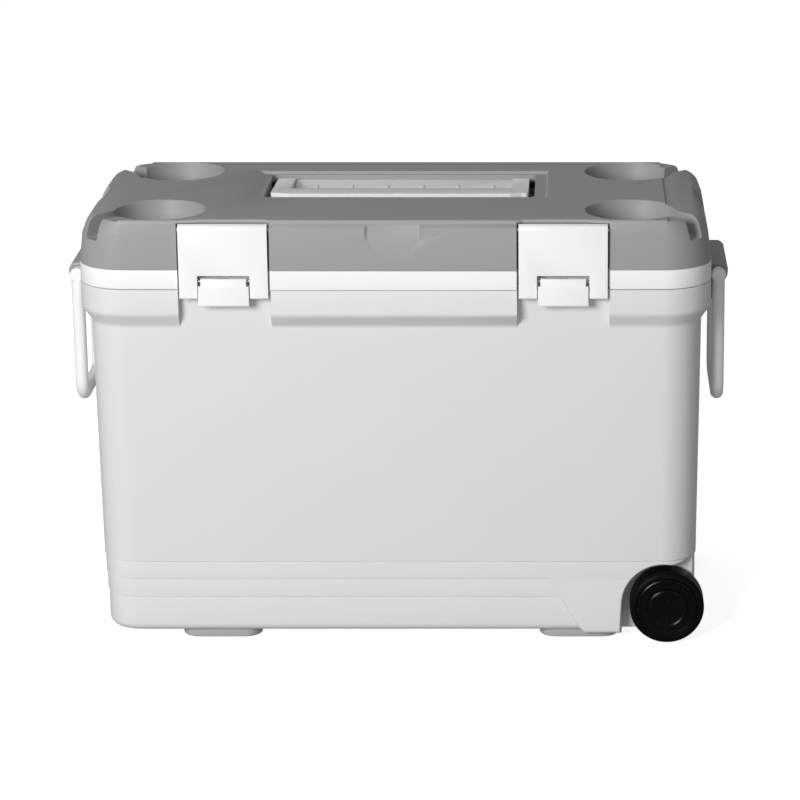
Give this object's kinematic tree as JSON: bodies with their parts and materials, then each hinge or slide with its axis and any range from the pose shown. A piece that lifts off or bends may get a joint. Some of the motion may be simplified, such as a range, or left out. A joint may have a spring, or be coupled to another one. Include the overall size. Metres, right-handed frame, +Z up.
{
  "type": "wheeled cooler",
  "caption": "Hard-sided insulated cooler with a hinged latching lid, cup wells, a folding lid handle, end bails and wheels on an axle at one end.",
  "frame": {"origin": "middle of the footprint, on the ground under the feet", "axes": "+X towards the wheel end, -Y towards the latch side, +Z up"},
  "size_m": [0.672, 0.296, 0.445],
  "materials": {
    "body_shell": "satin",
    "white_plastic": "satin",
    "liner_plastic": "satin",
    "grey_cover": "satin",
    "handle_plastic": "satin",
    "foam": "matte",
    "seal_rubber": "matte",
    "black_plastic": "satin",
    "tyre_rubber": "matte",
    "foot_plastic": "satin",
    "steel": "satin"
  },
  "bodies": {
    "body": {"outer_shell": "body_shell", "inner_liner": "liner_plastic", "body_foam": "foam", "foot_front_left": "foot_plastic", "foot_front_right": "foot_plastic", "foot_rear_left": "foot_plastic", "foot_rear_right": "foot_plastic", "handle_hood_left": "grey_cover", "handle_hood_right": "grey_cover", "hood_screws": "steel", "latch_keeper_left": "body_shell", "latch_keeper_right": "body_shell", "hinge_leaf_body_left": "white_plastic", "hinge_leaf_body_right": "white_plastic", "hinge_pins": "steel", "hinge_screws_body": "steel", "axle": "steel", "axle_tube": "black_plastic", "axle_push_nuts": "steel", "drain_spout": "white_plastic", "drain_locknut": "white_plastic"},
    "lid": {"lid_cover": "grey_cover", "lid_liner": "white_plastic", "lid_foam": "foam", "lid_gasket": "seal_rubber", "handle_tray": "handle_plastic", "handle_pins": "black_plastic", "hinge_leaf_lid_left": "white_plastic", "hinge_leaf_lid_right": "white_plastic", "hinge_screws_lid": "steel", "latch_pins": "steel"},
    "top_handle": {"carry_handle": "handle_plastic"},
    "latch_left": {"latch_plate_left": "white_plastic", "tab_pin_left": "steel", "tab_spring_left": "steel"},
    "latch_right": {"latch_plate_right": "white_plastic", "tab_pin_right": "steel", "tab_spring_right": "steel"},
    "tab_left": {"release_tab_left": "white_plastic"},
    "tab_right": {"release_tab_right": "white_plastic"},
    "bail_left": {"end_bail_left": "white_plastic"},
    "bail_right": {"end_bail_right": "white_plastic"},
    "wheel_front": {"wheel_tyre_front": "tyre_rubber", "wheel_core_front": "black_plastic", "wheel_cap_front": "black_plastic"},
    "wheel_rear": {"wheel_tyre_rear": "tyre_rubber", "wheel_core_rear": "black_plastic", "wheel_cap_rear": "black_plastic"},
    "drain_stopper": {"drain_plug": "white_plastic", "drain_washer": "seal_rubber"}
  },
  "joints": [
    {"name": "lid_hinge", "type": "hinge", "parent": "body", "child": "lid", "pos_m": [0, 0.143, 0.3748], "axis": [-1, 0, 0], "range_deg": [0, 95]},
    {"name": "top_handle_fold", "type": "hinge", "parent": "lid", "child": "top_handle", "pos_m": [0, 0.08, 0.4333], "axis": [-1, 0, 0], "range_deg": [0, 90]},
    {"name": "latch_left_swing", "type": "hinge", "parent": "lid", "child": "latch_left", "pos_m": [-0.1682, -0.14, 0.4355], "axis": [-1, 0, 0], "range_deg": [0, 100]},
    {"name": "latch_right_swing", "type": "hinge", "parent": "lid", "child": "latch_right", "pos_m": [0.1682, -0.14, 0.4355], "axis": [-1, 0, 0], "range_deg": [0, 100]},
    {"name": "tab_left_press", "type": "hinge", "parent": "latch_left", "child": "tab_left", "pos_m": [-0.1682, -0.1426, 0.384], "axis": [-1, 0, 0], "range_deg": [0, 30], "stiffness_Nm_per_rad": 0.05},
    {"name": "tab_right_press", "type": "hinge", "parent": "latch_right", "child": "tab_right", "pos_m": [0.1682, -0.1426, 0.384], "axis": [-1, 0, 0], "range_deg": [0, 30], "stiffness_Nm_per_rad": 0.05},
    {"name": "bail_left_swing", "type": "hinge", "parent": "body", "child": "bail_left", "pos_m": [-0.326, 0, 0.37], "axis": [0, 1, 0], "range_deg": [0, 88]},
    {"name": "bail_right_swing", "type": "hinge", "parent": "body", "child": "bail_right", "pos_m": [0.326, 0, 0.37], "axis": [0, -1, 0], "range_deg": [0, 88]},
    {"name": "wheel_front_spin", "type": "hinge", "parent": "body", "child": "wheel_front", "pos_m": [0.274, -0.1245, 0.0385], "axis": [0, 1, 0], "continuous": true},
    {"name": "wheel_rear_spin", "type": "hinge", "parent": "body", "child": "wheel_rear", "pos_m": [0.274, 0.1245, 0.0385], "axis": [0, 1, 0], "continuous": true},
    {"name": "drain_plug_pull", "type": "slide", "parent": "body", "child": "drain_stopper", "axis": [-1, 0, 0], "range_m": [0, 0.03]}
  ]
}
